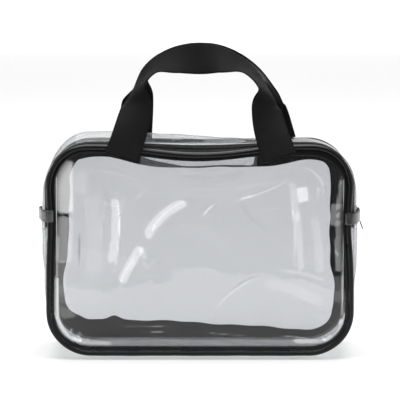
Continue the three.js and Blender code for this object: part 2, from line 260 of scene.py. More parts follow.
RISE_FROM_Z, RISE_FULL_Z = 118, 156
RISE_DEPTH = 0.4
PANEL_SHEET = 0.5
SLANT_POWER = 1.6
PATCH_CONTRAST = 1.6
PATCH_CUT = 0.3
PANEL_CROWN = -panel_low[1] - (HALF_DEPTH - PANEL_SETBACK)


def seam_stretches():
    """The seam's straight runs and quarter circles, anticlockwise from the zipper's right-hand end."""
    tx, tz = HALF_WIDTH - TOP_RADIUS, SEAM_TOP - TOP_RADIUS
    bx, bz = HALF_WIDTH - BOTTOM_RADIUS, SEAM_BOTTOM + BOTTOM_RADIUS
    return [("line", (HALF_WIDTH, ZIP_END_Z), (HALF_WIDTH, tz)), ("arc", (tx, tz), TOP_RADIUS, 0),
            ("line", (tx, SEAM_TOP), (-tx, SEAM_TOP)), ("arc", (-tx, tz), TOP_RADIUS, 90),
            ("line", (-HALF_WIDTH, tz), (-HALF_WIDTH, ZIP_END_Z)),
            ("line", (-HALF_WIDTH, ZIP_END_Z), (-HALF_WIDTH, bz)), ("arc", (-bx, bz), BOTTOM_RADIUS, 180),
            ("line", (-bx, SEAM_BOTTOM), (bx, SEAM_BOTTOM)), ("arc", (bx, bz), BOTTOM_RADIUS, 270),
            ("line", (HALF_WIDTH, bz), (HALF_WIDTH, ZIP_END_Z))]


def stretch_length(stretch):
    """A straight run's length, or a quarter of a circle's."""
    return math.dist(stretch[1], stretch[2]) if stretch[0] == "line" else stretch[2] * math.pi / 2


SEAM_LENGTH = sum(stretch_length(stretch) for stretch in seam_stretches())
ZIP_LENGTH = sum(stretch_length(stretch) for stretch in seam_stretches()[:5])


def seam(s):
    """Point (x, z) and outward normal (nx, nz) of the seam line at distances s along it, in mm."""
    s = np.mod(s, SEAM_LENGTH)
    x, z, nx, nz = (np.zeros_like(s) for _ in range(4))
    start = 0.0
    for stretch in seam_stretches():
        length = stretch_length(stretch)
        here = (s >= start) & (s <= start + length)
        t = (s[here] - start) / length
        if stretch[0] == "line":
            (x0, z0), (x1, z1) = stretch[1], stretch[2]
            x[here], z[here] = x0 + (x1 - x0) * t, z0 + (z1 - z0) * t
            nx[here], nz[here] = (z1 - z0) / length, (x0 - x1) / length
        else:
            angle = np.radians(stretch[3] + 90 * t)
            nx[here], nz[here] = np.cos(angle), np.sin(angle)
            x[here] = stretch[1][0] + stretch[2] * np.cos(angle)
            z[here] = stretch[1][1] + stretch[2] * np.sin(angle)
        start += length
    return x, z, nx, nz


def smoothstep(low, high, value):
    """0 below low, 1 above high, and a smooth S between."""
    t = np.clip((value - low) / (high - low), 0, 1)
    return t * t * (3 - 2 * t)


def settled(points):
    """The opening's edge dips by a cosine squared, and the front's sides draw in by a bell over the height.

    The front's foot and brow stand up by smooth steps over the height, fading out towards the back.
    """
    x, y, z = points[..., 0], points[..., 1], points[..., 2]
    back = np.clip((y + HALF_DEPTH) / (2 * HALF_DEPTH), 0, 1)
    across = np.where(np.abs(x) < SAG_HALF_SPAN, np.cos(np.pi * x / (2 * SAG_HALF_SPAN)) ** 2, 0)
    sag = (FRONT_SAG + (REAR_SAG - FRONT_SAG) * back) * across * smoothstep(SAG_START_Z, SEAM_TOP, z)
    waist = np.where(x > 0, WAIST_RIGHT, WAIST_LEFT) * (1 - back) ** 2
    waist = waist * smoothstep(WAIST_FROM_X, WAIST_FULL_X, np.abs(x))
    lift = FRONT_LIFT * smoothstep(LIFT_DEPTH, 0, back) * smoothstep(LIFT_FROM_Z, LIFT_FULL_Z, z)
    rise = FRONT_RISE * smoothstep(RISE_DEPTH, 0, back) * smoothstep(RISE_FROM_Z, RISE_FULL_Z, z)
    moved = points.copy()
    moved[..., 0] = x - np.sign(x) * waist * np.exp(-((z - WAIST_Z) / WAIST_SPREAD) ** 2)
    moved[..., 2] = z + (lift + rise) - sag
    return moved


def quad_mesh(name, vertices, quads, material, uv=None, marks=None):
    """A smooth mesh object at the origin, from vertices in mm and rows of quads, with its faces out."""
    corners = vertices[quads]
    turned = np.cross(corners[:, 2] - corners[:, 0], corners[:, 3] - corners[:, 1])
    if (corners.mean(1) * turned).sum() < 0:
        quads = quads[:, ::-1]
    mesh = bpy.data.meshes.new(name)
    mesh.vertices.add(len(vertices))
    mesh.vertices.foreach_set("co", (vertices * MM).astype(np.float32).ravel())
    mesh.loops.add(quads.size)
    mesh.loops.foreach_set("vertex_index", quads.astype(np.int32).ravel())
    mesh.polygons.add(len(quads))
    mesh.polygons.foreach_set("loop_start", np.arange(0, quads.size, 4, dtype=np.int32))
    mesh.polygons.foreach_set("use_smooth", np.ones(len(quads), bool))
    mesh.update(calc_edges=True)
    if uv is not None:
        layer = mesh.uv_layers.new(name="cloth")
        layer.data.foreach_set("uv", uv[quads].astype(np.float32).ravel())
    for key, values in (marks or {}).items():
        layer = mesh.attributes.new(key, "FLOAT", "POINT")
        layer.data.foreach_set("value", values.astype(np.float32).ravel())
    mesh.validate(clean_customdata=False)
    mesh.materials.append(material)
    piece = bpy.data.objects.new(name, mesh)
    scene.collection.objects.link(piece)
    return piece


def grid_quads(rows, columns, closed_rows=False, closed_columns=False):
    """Quads that join neighbours on a grid, and its ends where it closes on itself."""
    row_count = rows if closed_rows else rows - 1
    column_count = columns if closed_columns else columns - 1
    i, j = np.meshgrid(np.arange(row_count), np.arange(column_count), indexing="ij")
    i2, j2 = (i + 1) % rows, (j + 1) % columns
    corners = [i * columns + j, i2 * columns + j, i2 * columns + j2, i * columns + j2]
    return np.stack(corners, -1).reshape(-1, 4)


def clear_pvc(name, face_on, edge_on, haze, index=1.5, bloom=0.0, painted_glow=0.0):
    """Clear vinyl, tinted from face on to edge on by the slant to a power, and mirroring on its outer face.

    It is milky by haze in patches and by bloom at a slant, and whiter still by a painted highlight mark on
    creases and lamp sheens; the white part gives light of its own as a painted glow. A painted shade mark
    darkens the tint.
    """
    f = Finish(name)
    place = f.place()
    skin = f.bump(f.noise(place, scale=45, detail=3), strength=0.35, distance=0.0012)
    patches = f.noise(place, scale=12, detail=3) * PATCH_CONTRAST - PATCH_CUT
    # Painted light: one mark whitens the sheet as a painted highlight, the other darkens its tint as painted
    # shade.
    painted_highlight = f.node("ShaderNodeAttribute", {"attribute_name": "painted_highlight"}, {}, "Fac")
    painted_shade = f.node("ShaderNodeAttribute", {"attribute_name": "painted_shade"}, {}, "Fac")
    slant = f.node("ShaderNodeLayerWeight", {}, {"Blend": 0.3, "Normal": skin}, "Facing")
    thin = f.node("ShaderNodeBsdfTransparent", {}, {"Color": face_on})
    thick = f.node("ShaderNodeBsdfTransparent", {}, {"Color": edge_on})
    clear = f.node("ShaderNodeMixShader", {}, [(slant ** SLANT_POWER + painted_shade).clamp(), thin, thick])
    # Painted glow: the white part gives light of its own, standing in for lamps mirrored in the sheet.
    milk_and_painted_highlight = f.node("ShaderNodeBsdfPrincipled", {}, {
        "Base Color": grey(0.95), "Roughness": 1.0, "Specular IOR Level": 0.0,
        "Emission Color": grey(1), "Emission Strength": painted_glow})
    haze_and_painted_highlight = (haze * patches + bloom * slant + painted_highlight).clamp()
    body = f.node("ShaderNodeMixShader", {}, [haze_and_painted_highlight, clear, milk_and_painted_highlight])
    gloss = f.node("ShaderNodeBsdfGlossy", {}, {"Color": grey(1), "Roughness": 0.05, "Normal": skin})
    mirror = f.node("ShaderNodeFresnel", {}, {"IOR": index, "Normal": skin})
    inner_face = f.node("ShaderNodeNewGeometry", {}, {}, "Backfacing")
    return f.done(f.node("ShaderNodeMixShader", {}, [mirror * (1 - inner_face), body, gloss]))


# The panels' white marks glow a little: a painted glow.
panel_pvc = clear_pvc("clear_pvc", (0.828, 0.833, 0.842, 1), (0.5, 0.51, 0.53, 1), 0.007, painted_glow=0.35)


def crease(x, z, start, end, bow, width, fade=0.25):
    """A bell across a line from start to end, which a parabola bows sideways, thinner towards its ends."""
    start, end = np.array(start, float), np.array(end, float)
    length = np.linalg.norm(end - start)
    along = (end - start) / length
    t = ((x - start[0]) * along[0] + (z - start[1]) * along[1]) / length
    off = (x - start[0]) * -along[1] + (z - start[1]) * along[0] - bow * 4 * t * (1 - t)
    ends = smoothstep(0, fade, t) * smoothstep(1, 1 - fade, t)
    return ends * np.exp(-(off / (width * (CREASE_TIP + (1 - CREASE_TIP) * ends))) ** 2)


PANEL_RINGS = 84
PANEL_AROUND = 480
SEWN_SHARE = 0.92
CREASE_TIP = 0.35
RIDGE_GAIN, RIDGE_WIDTH = 0.7, 1.3
HIGHLIGHT_GAIN, HIGHLIGHT_WIDTH = 0.34, 0.6
SHADE_OFFSET, SHADE_WIDTH = 1.1, 0.7
SHEEN_FADE = 0.12
SHEEN_LOW, SHEEN_HIGH = 0.42, 0.62
# Each crease: start (x, z), end, sideways bow, width, ridge height, painted highlight along it, and painted
# shade beside it.
FRONT_CREASES = [
    ((-64, 134), (-67, 62), 4, 0.9, 0.4, 0.7, 0.06), ((-70, 128), (-74, 64), -3, 0.8, 0.3, 0.35, 0.06),
    ((-59, 112), (-56, 132), 1, 0.7, 0.3, 0.5, 0.05), ((-40, 92), (-2, 127), 6.5, 0.8, 0.4, 0.5, 0.05),
    ((1.5, 110), (12, 122), 1, 1.1, 0.3, 0.75, 0.05), ((-62, 52), (-46, 84), 3, 0.9, 0.3, 0.4, 0.05),
    ((68, 132), (72, 68), 2, 0.9, 0.3, 0.6, 0.05), ((89, 136), (90, 124), 1, 0.8, 0.3, 0.7, 0.05),
    ((92, 142), (94, 120), 1, 0.7, 0.3, 0.5, 0.05), ((26, 124.6), (70, 139), -2, 0.8, 0.3, 0.6, 0.05),
    ((28, 123), (42, 127), 1, 1.3, 0.3, 0.5, 0), ((9, 35), (47, 66), 4, 1.1, 0.3, 0.5, 0.08),
    ((-90, 144), (-40, 137), 2, 1.4, 0.4, 0.15, 0.04), ((-30, 137), (60, 139), -4, 1.0, 0.3, 0.15, 0.04),
    ((76, 148), (96, 130), 3, 1.0, 0.4, 0.4, 0.05), ((20, 130), (78, 138), 2, 0.8, 0.3, 0.25, 0.04),
    ((40, 112), (66, 118), 2, 0.9, 0.3, 0.2, 0.04), ((-86, 132), (-58, 118), -3, 1.0, 0.3, 0.25, 0.04),
    ((-50, 122), (-40, 132), 1, 0.9, 0.3, 0.5, 0.05), ((-38, 100), (-24, 116), 1, 0.7, 0.3, 0.4, 0.05),
    ((-93.5, 108), (-94, 60), 0.6, 0.5, 0.2, 0, 0.6), ((56, 70), (100, 60), 3, 1.0, 0.3, 0.25, 0.04),
    ((-100, 14), (-96, 24), 1, 0.6, 0, 0.5, 0), ((-97, 12), (-92, 21), -1, 0.6, 0, 0.5, 0),
    ((-93, 11), (-90, 19), 1, 0.6, 0, 0.45, 0), ((-90, 10), (-84, 16), -1, 0.6, 0, 0.4, 0),
    ((105, 88), (103, 80), 1, 0.6, 0, 0.5, 0), ((107, 84), (106, 74), -1, 0.6, 0, 0.5, 0),
    ((-60, 24), (-20, 23), 1, 0.5, 0, 0.3, 0), ((0, 20), (40, 17), -1, 0.5, 0, 0.25, 0),
    ((-40, 19), (-26, 20), 0, 0.6, 0, 0.4, 0), ((60, 16), (90, 12), 1, 0.7, 0, 0.35, 0),
    ((109.3, 72), (109, 24), -0.6, 0.9, 0, 0.7, 0), ((108, 140), (107.5, 132), 0, 0.9, 0, 0.5, 0),
]
REAR_CREASES = [
    ((-70, 40), (-30, 70), 6, 3, 0.12, 0.1, 0.02), ((30, 120), (60, 86), -7, 3, 0.12, 0.1, 0.02),
    ((-80, 128), (-70, 70), 5, 2, 0.15, 0.15, 0.03), ((-20, 132), (40, 136), -3, 2, 0.2, 0.15, 0.03),
]
# Each sheen, a painted highlight for a lamp mirrored in the vinyl: start (x, z), end, sideways bow, half
# width, strength.
FRONT_SHEENS = [
    ((-42, 92), (-8, 124), 5, 4.6, 0.2), ((-65, 128), (-69, 72), 3, 3.8, 0.18),
    ((-61, 58), (-43, 90), 1, 4.2, 0.2), ((-84, 130), (-82, 60), 2, 7, 0.04),
    ((77, 133), (79, 121), 0, 5.2, 0.28), ((69, 138), (73, 104), 1, 3.2, 0.1),
    ((74, 118), (77, 66), 0, 3, 0.1), ((87, 112), (91, 64), 2, 4, 0.07), ((46, 60), (96, 40), 4, 5, 0.05),
    ((-46, 88), (-41, 78), 0, 2.4, 0.1), ((-90, 126), (-88, 144), 2, 6, 0.06),
    ((-103.5, 154), (-104, 110), 0, 8.4, 0.27), ((-104, 113), (-104.6, 72), 0, 8, 0.13),
    ((-105, 78), (-105.6, 46), 0, 4, 0.07), ((-109.8, 98), (-109.6, 62), 0, 1.8, 0.15),
    ((-110, 66), (-109.4, 28), -0.6, 2.4, 0.55), ((-105, 50), (-98, 30), -2, 7, 0.05),
    ((-109, 34), (-88, 11.5), -7, 2.4, 0.45), ((-94, 12), (98, 11.2), 0, 3.2, 0.03),
    ((108.6, 32), (92, 11.8), 6, 2.4, 0.45), ((-96, 10.8), (-66, 10), 0, 1.8, 0.16),
    ((70, 12), (98, 11.5), 0, 2, 0.2), ((108.8, 138), (107.3, 114), 0, 2.4, 0.1),
    ((106.4, 121), (104.6, 102), 0, 6.2, 0.08), ((107.6, 108), (107.8, 92), 0, 3, 0.09),
    ((107, 96), (106.6, 66), 0, 3.2, 0.09), ((106, 66), (105.6, 42), 0, 4.6, 0.03),
    ((107.4, 113), (106.8, 109), 0, 1.4, 0.15),
]


def panel(name, side, creases, sheens=()):
    """Rings shrink from the seam to the middle; the crown falls off as one minus the square of the share."""
    share = np.linspace(1, 0, PANEL_RINGS + 1)[:, None]
    s = np.linspace(0, SEAM_LENGTH, PANEL_AROUND, endpoint=False)
    sx, sz, nx, nz = seam(s)
    middle = (SEAM_TOP + SEAM_BOTTOM) / 2
    x = (sx - nx * PANEL_INSET) * share
    z = middle + (sz - nz * PANEL_INSET - middle) * share
    loose = smoothstep(1.0, SEWN_SHARE, share)
    # Painted light: creases lay a painted highlight along them and painted shade beside them, and sheens add
    # painted highlights; all fade out at the sewn edge.
    ridge, painted_highlight, painted_shade = np.zeros_like(x), np.zeros_like(x), np.zeros_like(x)
    for start, end, bow, width, height, lit, shaded in creases:
        ridge = ridge + RIDGE_GAIN * height * crease(x, z, start, end, bow, width * RIDGE_WIDTH)
        painted_highlight = painted_highlight + HIGHLIGHT_GAIN * lit * crease(x, z, start, end, bow, width * HIGHLIGHT_WIDTH)
        painted_shade = painted_shade + shaded * crease(x, z, start, end, bow + width * SHADE_OFFSET, width * SHADE_WIDTH)
    for start, end, bow, width, strength in sheens:
        patch = crease(x, z, start, end, bow, width, SHEEN_FADE)
        painted_highlight = painted_highlight + strength * smoothstep(SHEEN_LOW, SHEEN_HIGH, patch)
    hills = 0.35 * np.sin(x / 17 + 1.3) * np.sin(z / 23 + 0.4)
    ripples = 0.15 * np.sin(z / 5.5 + x / 31)
    full = PANEL_CROWN * (1 - share ** 2) + loose * (ridge + (hills + ripples))
    depth = HALF_DEPTH - PANEL_SETBACK + full
    outer = settled(np.stack([x, side * depth, z], -1))
    inner = settled(np.stack([x, side * (depth - PANEL_SHEET), z], -1))
    rings = np.concatenate([outer, inner[::-1]])
    marks = {"painted_highlight": painted_highlight * loose, "painted_shade": painted_shade * loose}
    marks = {key: np.concatenate([value, value[::-1]]) for key, value in marks.items()}
    quads = grid_quads(len(rings), PANEL_AROUND, True, True)
    piece = quad_mesh(name, rings.reshape(-1, 3), quads, panel_pvc, marks=marks)
    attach(piece, "bag")
    width, height = 2 * HALF_WIDTH, SEAM_TOP - SEAM_BOTTOM
    corners_cut = (2 - math.pi / 2) * (TOP_RADIUS ** 2 + BOTTOM_RADIUS ** 2)
    area = (width * height - corners_cut) * MM ** 2
    return piece


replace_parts(panel("front_panel_sheet", -1, FRONT_CREASES, FRONT_SHEENS), "front_panel")
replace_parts(panel("rear_panel_sheet", 1, REAR_CREASES), "rear_panel")


# ---- Piping --------------------------------------------------------------------------------------
# A cord in a sleeve of glossy black vinyl, whose flange is caught in each panel seam, so that a round
# bead stands out all round the panel.
BEAD_RADIUS = 1.9
BEAD_OUT = 0.6
BEAD_FORWARD = 1.4
BEAD_SIDES = 16
FLANGE_START = (-1.2, 0.35)
FLANGE_LEAN = 4
FLANGE_WIDTH = 2.5
FLANGE_WIDER_RIGHT = 2.6
FLANGE_THICK = 1.0
OVAL_SIDES = 20
SEAM_STEPS = 560
seam_s = np.linspace(0, SEAM_LENGTH, SEAM_STEPS, endpoint=False)


def seam_sweep(s, section, side):
    """Carries a section round the seam; the section's rows hold [outwards, forwards] in mm."""
    x, z, nx, nz = (value[:, None] for value in seam(s))
    outwards, forwards = section[..., 0], section[..., 1]
    points = np.stack([x + nx * outwards, side * (HALF_DEPTH + forwards) + 0 * x, z + nz * outwards], -1)
    return settled(points)


def glossy_vinyl():
    """Black vinyl with a fine grain, and duller where it has been rubbed."""
    f = Finish("black_vinyl")
    place = f.place()
    grain = f.noise(place, scale=900, detail=2)
    rubbed = f.noise(place, scale=60, detail=4)
    tint = f.blend(rubbed, (0.002, 0.002, 0.0025, 1), (0.006, 0.006, 0.007, 1))
    bump = f.bump(grain, strength=0.2, distance=0.0003)
    return f.done(f.node("ShaderNodeBsdfPrincipled", {}, {
        "Base Color": tint, "Roughness": 0.2 + 0.2 * rubbed, "Normal": bump, "Specular IOR Level": 0.3}))


black_vinyl = glossy_vinyl()


def ring_piece(name, section, side, material):
    """A closed section carried right round the seam and joined to its own start."""
    points = seam_sweep(seam_s, section, side)
    quads = grid_quads(points.shape[0], points.shape[1], True, True)
    piece = quad_mesh(name, points.reshape(-1, 3), quads, material)
    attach(piece, "bag")
    return piece


def bead_section():
    """A circle that swells and thins a little along the seam, where the sleeve is stretched."""
    angle = np.linspace(0, 2 * np.pi, BEAD_SIDES, endpoint=False)[None, :]
    radius = BEAD_RADIUS * (1 + 0.03 * np.sin(seam_s / 9) + 0.02 * np.sin(seam_s / 3.7))[:, None]
    return np.stack([BEAD_OUT + radius * np.cos(angle), BEAD_FORWARD + radius * np.sin(angle)], -1)


def flat_oval(start, lean, width, thick):
    """A flat section with round edges: a superellipse of power four, from a start point along a lean."""
    angle = np.linspace(0, 2 * np.pi, OVAL_SIDES, endpoint=False)[None, :]
    cosine, sine = np.cos(angle), np.sin(angle)
    along = np.sign(cosine) * np.abs(cosine) ** 0.5
    across = np.sign(sine) * np.abs(sine) ** 0.5
    lean = np.radians(lean)[:, None]
    far = width[:, None] * (1 + along) / 2
    off = thick * across / 2
    outwards = start[0] - np.cos(lean) * far - np.sin(lean) * off
    forwards = start[1] - np.sin(lean) * far + np.cos(lean) * off
    return np.stack([outwards, forwards], -1)


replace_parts(ring_piece("front_piping_bead", bead_section(), -1, black_vinyl), "front_piping")
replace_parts(ring_piece("rear_piping_bead", bead_section(), 1, black_vinyl), "rear_piping")
seam_x, seam_z, seam_nx, seam_nz = seam(seam_s)
flange_right = smoothstep(0.3, 0.9, seam_nz) * smoothstep(40, 80, seam_x)
flange_width = FLANGE_WIDTH + 0.25 * np.sin(seam_s / 23) + FLANGE_WIDER_RIGHT * flange_right
front_flange = flat_oval(FLANGE_START, FLANGE_LEAN + 0 * seam_s, flange_width, FLANGE_THICK)
ring_piece("front_piping_flange", front_flange, -1, black_vinyl)


# ---- Seam bindings -------------------------------------------------------------------------------
# Inside the bag the raw edges of panel, piping and gusset are wrapped in folded black tape. In front it
# mostly stands off the panel; behind it lies flat against the panel, with a wavy free edge.
def woven_tape(name, dark, light, shine=0.3):
    """Narrow black tape: fine round thread tops as bumps, paler and duller in worn patches."""
    f = Finish(name)
    place = f.place()
    threads = f.node("ShaderNodeTexVoronoi", {}, {"Vector": place, "Scale": 1900})
    wear = f.noise(place, scale=45, detail=3)
    tint = f.blend(wear, grey(dark), grey(light))
    bump = f.bump(threads, strength=0.5, distance=0.0002)
    return f.done(f.node("ShaderNodeBsdfPrincipled", {}, {
        "Base Color": tint, "Roughness": 0.5 + 0.2 * wear, "Normal": bump, "Specular IOR Level": shine}))


def near(value, middle, spread):
    """A bell of height one round a middle."""
    return np.exp(-((value - middle) / spread) ** 2)


black_tape = woven_tape("black_tape", 0.002, 0.008)
TAPE_START = -1.9
FRONT_TAPE_FORWARD = -2.4
FRONT_TAPE_LEAN = 22
FRONT_TAPE_LEAN_MIDDLE = 60
FRONT_TAPE_WIDTH = 2.1
FRONT_TAPE_THICK = 1.2
REAR_TAPE_FORWARD = -3.0
REAR_TAPE_LEAN = 10
REAR_TAPE_WIDTH = 10.3
REAR_TAPE_THICK = 1.6
REAR_TAPE_DROP = 1.3
REAR_TUCK_X = -68
REAR_EDGE_X = [-110, -88, -64, -40, -20, 0, 20, 40, 60, 80, 110]
REAR_EDGE_Z = [-2.0, -2.4, -2.9, -2.7, -2.0, -0.9, 0.7, 2.3, 3.8, 5.0, 5.4]
top_right = smoothstep(0.2, 0.8, seam_nz) * smoothstep(20, 75, seam_x)
top_middle = smoothstep(0.8, 1, seam_nz) * smoothstep(55, 30, np.abs(seam_x))
under_bag = smoothstep(-0.3, -0.9, seam_nz)
front_lean = FRONT_TAPE_LEAN + FRONT_TAPE_LEAN_MIDDLE * top_middle
front_width = FRONT_TAPE_WIDTH + 0.6 * under_bag + 4 * top_right + 2 * top_middle
front_binding = flat_oval((TAPE_START, FRONT_TAPE_FORWARD), front_lean, front_width, FRONT_TAPE_THICK)
on_left = smoothstep(-0.3, -0.9, seam_nx) * 5.5 * near(seam_z, 48, 24)
on_right = smoothstep(0.3, 0.9, seam_nx) * 3.4 * smoothstep(66, 42, seam_z)
rear_edge = np.interp(seam_x, REAR_EDGE_X, REAR_EDGE_Z)
below = under_bag * (rear_edge - REAR_TAPE_DROP - 4 * near(seam_x, REAR_TUCK_X, 6))
waves = 0.5 * np.sin(seam_s / 11) + 0.35 * np.sin(seam_s / 4.3)
rear_width = REAR_TAPE_WIDTH - on_left - on_right - below + waves
rear_lean = REAR_TAPE_LEAN + 4 * np.sin(seam_s / 19)
rear_start = ((TAPE_START + REAR_TAPE_DROP * under_bag)[:, None], REAR_TAPE_FORWARD)
rear_binding = flat_oval(rear_start, rear_lean, rear_width, REAR_TAPE_THICK)
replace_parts(ring_piece("front_seam_tape", front_binding, -1, black_tape), "front_seam_binding")
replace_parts(ring_piece("rear_seam_tape", rear_binding, 1, black_tape), "rear_seam_binding")


# ---- Seam allowance at the opening ---------------------------------------------------------------
# Along the top of the front seam the allowance hangs down inside the panel: a clear strip in the middle,
# ended by bound tape that widens at both sides, where it also wraps the sewn-in ends of the handles.
ALLOWANCE_Y = -36.1
ALLOWANCE_AHEAD = 1.2
ALLOWANCE_THICK = 0.4
OPENING_TAPE_THICK = 0.8
NARROWEST_TAPE = 0.9
STRIP_ROWS = 12
LOWER_EDGE = [(-92, 153.8), (-84, 155.6), (-73, 156.3), (-61, 154), (-49, 150.8), (-37, 148.6), (-29, 147.9),
              (-13, 147.6), (0, 147.4), (15, 148.3), (25, 148.0), (41, 148.3), (54, 148.8), (65, 150.7),
              (76, 153.2), (84, 153.8), (92, 152.6), (99, 150), (105, 146.5)]
TAPE_EDGE = [(-92, 157), (-44, 158), (-42, 155.4), (-33, 152.6), (-21, 150.3), (-13, 148.9), (0, 148.7),
             (15, 149.5), (31, 149.6), (40, 149.9), (42, 156), (60, 158), (84, 158), (92, 157.5), (99, 156),
             (105, 152)]


def smooth_path(rows, count):
    """A centripetal Catmull-Rom spline through rows, sampled evenly along its length; also that length."""
    rows = np.array(rows, float)
    ends = np.concatenate([[2 * rows[0] - rows[1]], rows, [2 * rows[-1] - rows[-2]]])
    knots = np.concatenate([[0], np.cumsum(np.linalg.norm(np.diff(ends, axis=0), axis=1) ** 0.5)])
    fine = np.linspace(knots[1], knots[-2], 1200)
    k = np.clip(np.searchsorted(knots, fine, side="right") - 1, 1, len(ends) - 3)
    t0, t1, t2, t3 = (knots[k + i][:, None] for i in (-1, 0, 1, 2))
    p0, p1, p2, p3 = (ends[k + i] for i in (-1, 0, 1, 2))
    t = fine[:, None]
    a1 = (t1 - t) / (t1 - t0) * p0 + (t - t0) / (t1 - t0) * p1
    a2 = (t2 - t) / (t2 - t1) * p1 + (t - t1) / (t2 - t1) * p2
    a3 = (t3 - t) / (t3 - t2) * p2 + (t - t2) / (t3 - t2) * p3
    b1 = (t2 - t) / (t2 - t0) * a1 + (t - t0) / (t2 - t0) * a2
    b2 = (t3 - t) / (t3 - t1) * a2 + (t - t1) / (t3 - t1) * a3
    path = (t2 - t) / (t2 - t1) * b1 + (t - t1) / (t2 - t1) * b2
    length = np.concatenate([[0], np.cumsum(np.linalg.norm(np.diff(path, axis=0), axis=1))])
    even = np.linspace(0, length[-1], count)
    return np.stack([np.interp(even, length, path[:, i]) for i in range(path.shape[1])], -1), length[-1]


def curve_through(rows, x):
    """Heights along a smooth curve through (x, z) rows."""
    path, _ = smooth_path(rows, 400)
    return np.interp(x, path[:, 0], path[:, 1])


def shell_quads(rows, columns):
    """Quads of two grids, one behind the other, and of the wall that joins their borders."""
    face = grid_quads(rows, columns)
    count = rows * columns
    ids = np.arange(count).reshape(rows, columns)
    border = np.concatenate([ids[:-1, 0], ids[-1, :-1], ids[:0:-1, -1], ids[0, :0:-1]])
    after = np.roll(border, -1)
    wall = np.stack([after, border, border + count, after + count], -1)
    return np.concatenate([face, face[:, ::-1] + count, wall])


def hanging_strip(name, x, low, high, y, thick, material):
    """A thin closed strip in the front seam's plane between two heights at each x, cupped by half a sine."""
    t = np.linspace(0, 1, STRIP_ROWS)[None, :]
    z = low[:, None] + (high - low)[:, None] * t
    depth = y + 0.5 * np.sin(np.pi * t) + 0.25 * np.sin(x[:, None] / 6)
    front = np.stack([x[:, None] + 0 * t, depth - thick / 2, z], -1)
    behind = np.stack([x[:, None] + 0 * t, depth + thick / 2, z], -1)
    vertices = np.concatenate([front.reshape(-1, 3), behind.reshape(-1, 3)])
    piece = quad_mesh(name, vertices, shell_quads(len(x), STRIP_ROWS), material)
    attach(piece, "bag")
    return piece


tape_x = np.linspace(-92, 105, 240)
tape_low = curve_through(LOWER_EDGE, tape_x)
tape_high = np.maximum(curve_through(TAPE_EDGE, tape_x), tape_low + NARROWEST_TAPE)
hanging_strip("opening_tape", tape_x, tape_low, tape_high, ALLOWANCE_Y, OPENING_TAPE_THICK, black_tape)
allowance_pvc = clear_pvc("allowance_pvc", (0.97, 0.97, 0.975, 1), (0.85, 0.86, 0.87, 1), 0.22)
clear_x = np.linspace(-45, 43, 120)
clear_low = curve_through(LOWER_EDGE, clear_x) + 0.3
clear_high = SEAM_TOP - FRONT_SAG * np.cos(np.pi * clear_x / (2 * SAG_HALF_SPAN)) ** 2
hanging_strip("opening_allowance", clear_x, clear_low, clear_high, ALLOWANCE_Y - ALLOWANCE_AHEAD,
              ALLOWANCE_THICK, allowance_pvc)


# ---- Gussets -------------------------------------------------------------------------------------
# The clear strip that joins the panels: along the sides and top it is two strips with the zipper between
# them, and below that one piece runs under the bag. The sheet's slack puffs out beside the zipper.
GUSSET_EDGE = HALF_DEPTH - 1.2
GUSSET_SHEET = 0.45
SIDE_BULGE = 4.5
TOP_BULGE = 1.5
BOTTOM_BULGE = 3
FLAT_HALF = 14
TAPE_HALF = 16
ZIP_SLOT_HALF = 9
HUMP_MEAN = 4.8
HUMP_SWING = 3.2
HUMP_MIDDLE_X = 20
HUMP_SPREAD = 40
SIDE_PUFF = 4
SIDE_PUFF_Z = 100
SIDE_PUFF_SPREAD = 38
SHOULDER = 0.8
SHOULDER_Y = 31
SHOULDER_SPREAD = 4


def gusset_face(x, z, nx, nz, y):
    """How far the gusset stands outside the seam: a cubic bulge, flat in the middle, with puffs beside it.

    The puffs are squared sines across the slack: a hump behind the zipper that falls from left to right by
    a hyperbolic tangent, and a bell over the height at each side. The front shoulder is a narrow bell.
    """
    middle = np.where(nz < 0, BOTTOM_BULGE, TOP_BULGE)
    bulge = SIDE_BULGE + (middle - SIDE_BULGE) * np.abs(nz)
    share = (1 - np.abs(y / HALF_DEPTH) ** 3) / (1 - (FLAT_HALF / HALF_DEPTH) ** 3)
    slack = np.clip((np.abs(y) - TAPE_HALF) / (GUSSET_EDGE - TAPE_HALF), 0, 1)
    puff = np.sin(np.pi * slack) ** 2
    on_top = np.clip(nz, 0, 1) ** 2
    hump = (HUMP_MEAN - HUMP_SWING * np.tanh((x - HUMP_MIDDLE_X) / HUMP_SPREAD)) * on_top * (y > 0)
    side = SIDE_PUFF * nx ** 2 * near(z, SIDE_PUFF_Z, SIDE_PUFF_SPREAD)
    shoulder = SHOULDER * near(y, -SHOULDER_Y, SHOULDER_SPREAD) * on_top
    shoulder = shoulder * smoothstep(GUSSET_EDGE, GUSSET_EDGE - 3, -y)
    return bulge * np.minimum(1, share) + puff * (hump + side) + shoulder


def gusset_points(s, y, rise, rumple=0.0):
    """Points on the gusset at distances s along the seam and depths y, a rise above its face."""
    x, z, nx, nz = (value[:, None] for value in seam(s))
    y = y[None, :] + 0 * x
    s = s[:, None]
    wave = np.sin(s / 7.3 + y / 9) * np.sin(s / 17 - y / 13) + 0.6 * np.sin(s / 3.9 + y / 5)
    loose = smoothstep(TAPE_HALF, TAPE_HALF + 6, np.abs(y))
    loose = loose * smoothstep(GUSSET_EDGE, GUSSET_EDGE - 4, np.abs(y))
    away = gusset_face(x, z, nx, nz, y) + rise + rumple * wave * loose
    return settled(np.stack([x + nx * away, y, z + nz * away], -1))


gusset_pvc = clear_pvc("gusset_pvc", (0.92, 0.925, 0.93, 1), (0.42, 0.425, 0.435, 1), 0.06, index=1.35,
                       bloom=0.12)


def gusset_piece(name, s, y, low, high, material, rumple=0.0):
    """A closed strip of the gusset between two heights off its face."""
    outer = gusset_points(s, y, high, rumple)
    inner = gusset_points(s, y, low, rumple)
    vertices = np.concatenate([outer.reshape(-1, 3), inner.reshape(-1, 3)])
    piece = quad_mesh(name, vertices, shell_quads(len(s), len(y)), material)
    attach(piece, "bag")
    return piece


